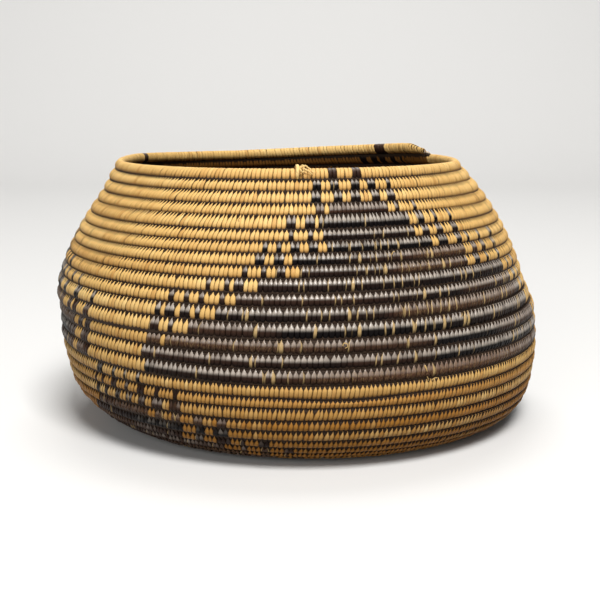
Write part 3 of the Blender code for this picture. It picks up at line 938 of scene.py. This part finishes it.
class BasketSizes(PropertyGroup):
    """Sizes of the sewing."""

    thickness: FloatProperty(name="Thickness", default=1.25 * MM, unit="LENGTH", precision=5,
                             description="Half thickness of a round, without its share by pitch")
    free_side: FloatProperty(name="Free Side", default=2.6 * MM, unit="LENGTH", precision=5,
                             description="From a round's middle to a side with no neighbour")
    base_stitch: FloatProperty(name="Base Stitch", description="Width of a stitch on the base",
                               default=2.2 * MM, unit="LENGTH", precision=5)
    crown: FloatProperty(name="Crown", description="Height of a stitch's middle over its edges",
                         default=0.2 * MM, unit="LENGTH", precision=5)
    splint: FloatProperty(name="Splint", description="Thickness of the split stem", default=0.4 * MM,
                          unit="LENGTH", precision=5)
    unevenness: FloatProperty(name="Unevenness", description="How far stitches stand proud of each other",
                              default=0.06 * MM, unit="LENGTH", precision=5)
    wobble: FloatProperty(name="Wobble", description="How far the grooves wander, as a share of the pitch",
                          default=0.025, min=0, max=0.2)
    fit: FloatProperty(name="Fit", description="A stitch's width as a share of its place along the coil",
                       default=1.12, min=0.5, max=1.5)
    seed: IntProperty(name="Seed", description="Sets the unevenness of the hand sewing", default=11, min=0)


class BasketColours(PropertyGroup):
    """Colours of the splints, the grass and the floor."""

    pale: colour_property("Pale", "Splint near the rim", (0.74, 0.462, 0.155))
    # This colour also holds painted shade for the heel.
    golden: colour_property("Golden", "Splint near the base", (0.30, 0.118, 0.009))
    sunned: colour_property("Sunned", "The lightest splints", (0.92, 0.67, 0.29))
    # This colour is also the painted shade on the lower side of each light stitch.
    ginger: colour_property("Ginger", "Darker splints and fibres", (0.44, 0.19, 0.04))
    # This colour is dirt with painted shade along the stitches' edges, and painted shade at their lower ends
    # in the grooves.
    grime_and_shade: colour_property("Grime And Shade", "Dirt along the edges", (0.10, 0.045, 0.014))
    dyed: colour_property("Dyed", "Dyed splint", (0.005, 0.0035, 0.0035))
    # This colour is a dusting with a painted sheen on the upper side of dyed splints.
    dusty_sheen: colour_property("Dusty Sheen", "Dust on the upper side of dyed splints", (0.42, 0.36, 0.30))
    rust: colour_property("Rust", "Dyed splint that has turned brown", (0.125, 0.056, 0.032))
    # This colour is painted shade on the splints of the bowl's inner side.
    inner_shade: colour_property("Inner Shade", "Splint on the inner side", (0.15, 0.05, 0.004))
    worn: colour_property("Worn", "Undyed edges of the dark splints", (0.50, 0.34, 0.15))
    # This colour is painted near black as the shade in the gaps between the stitches.
    grass: colour_property("Grass", "Stalks of the bundle", (0.018, 0.009, 0.004))
    floor: colour_property("Floor", "Floor and backdrop", (0.80, 0.79, 0.77))


class BASKET_OT_wind_grass(Operator):
    """Winds the bundle of grass from the start to the rim"""
    bl_idname = "basket.wind_grass"
    bl_label = "Wind Grass"

    def execute(self, context):
        sizes = context.scene.basket_sizes
        coil = coil_table(sizes)
        for name, node, rounds in LENGTHS:
            mesh = grass_mesh(f"{name}_grass", coil, max(rounds[0], TAIL_CLOSED), rounds[-1], sizes)
            add_piece(context, f"{name}_grass", mesh, "grass_bundle", "straw", [node])
        return {"FINISHED"}


def sew(context, kind, material, slots):
    """Sews the light or the dark stitches of every length of coil."""
    sizes = context.scene.basket_sizes
    plan = plan_stitches(sizes)
    wanted = (plan.dark if kind == "dark" else ~plan.dark) & ~plan.marked
    for name, node, rounds in LENGTHS:
        for number, (start, end) in enumerate(zip(rounds, rounds[1:])):
            chosen = wanted & (plan.turn >= start) & (plan.turn < end)
            if not chosen.any():
                continue
            title = f"{name}_{kind}_stitches_{number + 1}"
            mesh = sewn_mesh(title, plan.coil, *chosen_stitches(plan, chosen), plan.look[chosen], sizes,
                             sizes.seed + number)
            add_piece(context, title, mesh, material, slots(start), [node])


class BASKET_OT_sew_light(Operator):
    """Sews the light stitches of every round"""
    bl_idname = "basket.sew_light"
    bl_label = "Sew Light Stitches"

    def execute(self, context):
        sew(context, "light", "light_splint", lambda start: "pale_straw" if start < STRAW_FROM else "straw")
        return {"FINISHED"}


class BASKET_OT_sew_dark(Operator):
    """Sews the dark stitches of the stepped pyramids"""
    bl_idname = "basket.sew_dark"
    bl_label = "Sew Dark Stitches"

    def execute(self, context):
        sew(context, "dark", "dark_splint", lambda start: "dark_rush")
        return {"FINISHED"}


class BASKET_OT_mark_rim(Operator):
    """Sews the few dark stitches round the rim"""
    bl_idname = "basket.mark_rim"
    bl_label = "Mark Rim"

    def execute(self, context):
        sizes = context.scene.basket_sizes
        plan = plan_stitches(sizes)
        for name, _azimuth, _count, brown in RIM_GROUPS:
            chosen = plan.marks[name]
            looks = plan.look[chosen] * RIM_DUST_SHEEN_AND_WEAR + (0, 0, brown)
            mesh = sewn_mesh(name, plan.coil, *chosen_stitches(plan, chosen), looks, sizes, sizes.seed)
            nodes = [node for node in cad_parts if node.startswith(name)]
            add_piece(context, f"{name}_splints", mesh, "dark_splint", "dark_rush", nodes)
        return {"FINISHED"}


class BASKET_OT_wrap_start(Operator):
    """Wraps the small ring that the coil starts from"""
    bl_idname = "basket.wrap_start"
    bl_label = "Wrap Start"

    def execute(self, context):
        sizes = context.scene.basket_sizes
        table = SimpleNamespace(turn=np.arange(ROUND_STEPS + 1) / ROUND_STEPS)
        table.top = 0 * table.turn
        table.azimuth = tau * table.turn
        full = np.ones_like(table.turn)
        add_directions(table, 0 * full)
        table.radius = RING_RADIUS * full
        table.centre = table.radius[:, None] * table.up + (FOOT_CENTRE, 0, RING_THICKNESS)
        table.room_up = RING_ROOM * full
        table.room_down = RING_ROOM * full
        table.thickness = RING_THICKNESS * full
        table.outer = table.thickness
        count = RING_STITCHES
        turns = np.arange(count) / count
        widths = np.full(count, tau * RING_RADIUS / count)
        slants = np.full(count, RING_SLANT)
        rng = np.random.default_rng(sizes.seed)
        looks = np.column_stack((rng.random(count), rng.random(count), np.ones(count)))
        mesh = sewn_mesh("start_ring", table, turns, widths, slants, looks, sizes, sizes.seed)
        add_piece(context, "start_ring", mesh, "light_splint", "straw", ["start_knot"])
        return {"FINISHED"}


class BASKET_OT_tie_rim(Operator):
    """Ties the knot at the front of the rim"""
    bl_idname = "basket.tie_rim"
    bl_label = "Tie Rim"

    def execute(self, context):
        sizes = context.scene.basket_sizes
        spot = spot_finder(coil_table(sizes), 1, TIE_AZIMUTH)
        sway, loop_up, loop_out = LOOP_SIZE
        angles = np.radians(np.linspace(*LOOP_ENDS, LOOP_STEPS))
        over = [spot(sway * sin(3 * angle), loop_up * sin(angle), loop_out * cos(angle)) for angle in angles]
        thick_part = (0, 1, LOOP_STEPS - 2, LOOP_STEPS - 1)
        rings = strand_rings(over, np.interp(np.arange(LOOP_STEPS), thick_part, LOOP_RADII) * MM)
        add_strand(context, "tie_loop", rings, TIE_LOOK, ["rim_tie_loop"])

        angles = np.linspace(KNOT_START, KNOT_START + KNOT_ROUNDS * tau, KNOT_STEPS)
        ways = np.stack((np.cos(angles), np.sin(angles), np.sin(2 * angles)), axis=-1)
        winds = [spot(*point) for point in KNOT_CENTRE + ways * KNOT_SIZE]
        add_strand(context, "tie_knot", strand_rings(winds, KNOT_RADIUS * MM), TIE_LOOK, ["rim_tie_knot"])

        for node, points, radius in TIE_STRANDS:
            path = [spot(*point) for point in points]
            rings = strand_rings(path, np.linspace(radius, radius * STRAND_TAPER, len(path)) * MM)
            add_strand(context, node.replace("rim_", "") + "_strand", rings, TIE_LOOK, [node])

        rng = np.random.default_rng(sizes.seed)
        for index in range(TUFT_STRANDS):
            start = np.array(TUFT_ROOT) + rng.normal(0, TUFT_SCATTER, 3)
            end = start + [rng.uniform(low, high) for low, high in TUFT_REACH]
            bend = (start + end) / 2 + rng.normal(0, TUFT_BEND, 3)
            path = [spot(*point) for point in (start, bend, end)]
            rings = strand_rings(path, np.array(TUFT_RADII) * MM, 6)
            add_strand(context, f"tie_tuft_{index + 1}", rings, TIE_LOOK)
        return {"FINISHED"}


class BASKET_OT_fray_ends(Operator):
    """Adds the few loose ends of splints"""
    bl_idname = "basket.fray_ends"
    bl_label = "Fray Ends"

    def execute(self, context):
        coil = coil_table(context.scene.basket_sizes)
        for name, row, azimuth, radius, points in FRAYED:
            spot = spot_finder(coil, row, azimuth)
            radii = np.linspace(radius, radius * FRAYED_TAPER, len(points)) * MM
            add_strand(context, name, strand_rings([spot(*point) for point in points], radii), FRAYED_LOOK)
        return {"FINISHED"}


class BASKET_OT_set_stage(Operator):
    """Adds the floor, the lights and the camera"""
    bl_idname = "basket.set_stage"
    bl_label = "Set Stage"

    def execute(self, context):
        colours = context.scene.basket_colours
        scene = context.scene
        mesh = backdrop_mesh("floor")
        material, wire, shader = new_material("pale_floor", {"Roughness": 0.9, "Specular IOR Level": 0.1})
        rays = [wire.node("ShaderNodeLightPath", None, None, name)
                for name in ("Is Camera Ray", "Is Glossy Ray", "Is Transmission Ray")]
        seen = (rays[0] + rays[1] + rays[2]).between(0, 1)
        plug(seen.blend(rgba(colours.floor, FLOOR_BOUNCE), rgba(colours.floor)), shader, "Base Color")
        mesh.materials.append(material)
        floor = bpy.data.objects.new("floor", mesh)
        scene.collection.objects.link(floor)

        for name, location, size, power in LAMPS:
            add_lamp(scene, name, location, size, power)
        world = bpy.data.worlds.new("studio")
        world.use_nodes = True
        background = world.node_tree.nodes["Background"]
        background.inputs["Color"].default_value = (1, 1, 1, 1)
        background.inputs["Strength"].default_value = AMBIENT
        scene.world = world

        camera_data = bpy.data.cameras.new("camera")
        camera_data.lens = CAMERA_LENS
        camera_data.sensor_width = 36
        camera_data.clip_start = 0.01
        camera = bpy.data.objects.new("camera", camera_data)
        camera.location = CAMERA_PLACE
        camera.rotation_euler = (CAMERA_PITCH, 0, 0)
        scene.collection.objects.link(camera)
        scene.camera = camera
        scene.view_settings.view_transform = "Standard"
        return {"FINISHED"}


def backdrop_mesh(name):
    """A floor that curves up behind into a backdrop."""
    half_width = 2.5
    front = -2.5
    back = 1.2
    bend = 0.8
    height = 2.5
    arc = [(back + bend * sin(angle), bend * (1 - cos(angle))) for angle in np.linspace(0, pi / 2, 13)]
    line = [(front, 0), (0, 0), *arc, (back + bend, height)]
    points = [(side, depth, level) for depth, level in line for side in (-half_width, half_width)]
    faces = [(2 * index, 2 * index + 1, 2 * index + 3, 2 * index + 2) for index in range(len(line) - 1)]
    return quad_mesh(name, np.array(points), np.array(faces))


def add_lamp(scene, name, location, size, power):
    """A square soft light that faces the bowl from in front, or the backdrop from behind the bowl."""
    data = bpy.data.lights.new(name, "AREA")
    data.shape = "SQUARE"
    data.size = size
    data.energy = power
    lamp = bpy.data.objects.new(name, data)
    lamp.location = location
    target = Vector(BOWL_MIDDLE if location[1] < 0 else BACKDROP_MIDDLE)
    lamp.rotation_euler = (target - lamp.location).to_track_quat("-Z", "Y").to_euler()
    scene.collection.objects.link(lamp)


STEPS = (BASKET_OT_wind_grass, BASKET_OT_sew_light, BASKET_OT_sew_dark, BASKET_OT_mark_rim,
         BASKET_OT_wrap_start, BASKET_OT_tie_rim, BASKET_OT_fray_ends, BASKET_OT_set_stage)


class BASKET_PT_bowl(Panel):
    """Lists the sizes, the colours and the steps that make the bowl"""
    bl_idname = "BASKET_PT_bowl"
    bl_label = "Coiled Bowl"
    bl_space_type = "VIEW_3D"
    bl_region_type = "UI"
    bl_category = "Basket"

    def draw(self, context):
        for group in (context.scene.basket_sizes, context.scene.basket_colours):
            for name in group.__annotations__:
                self.layout.prop(group, name)
        for step in STEPS:
            self.layout.operator(step.bl_idname)


CLASSES = (BasketSizes, BasketColours, *STEPS, BASKET_PT_bowl)


def register():
    """Adds the classes, and the sizes and colours to the scene."""
    for each in CLASSES:
        bpy.utils.register_class(each)
    bpy.types.Scene.basket_sizes = PointerProperty(type=BasketSizes)
    bpy.types.Scene.basket_colours = PointerProperty(type=BasketColours)


def unregister():
    """Takes them away again."""
    del bpy.types.Scene.basket_colours
    del bpy.types.Scene.basket_sizes
    for each in reversed(CLASSES):
        bpy.utils.unregister_class(each)


def main():
    """Makes the bowl and its stage."""
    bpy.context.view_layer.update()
    register()
    bpy.ops.basket.wind_grass()
    bpy.ops.basket.sew_light()
    bpy.ops.basket.sew_dark()
    bpy.ops.basket.mark_rim()
    bpy.ops.basket.wrap_start()
    bpy.ops.basket.tie_rim()
    bpy.ops.basket.fray_ends()
    bpy.ops.basket.set_stage()


if __name__ == "__main__":
    main()
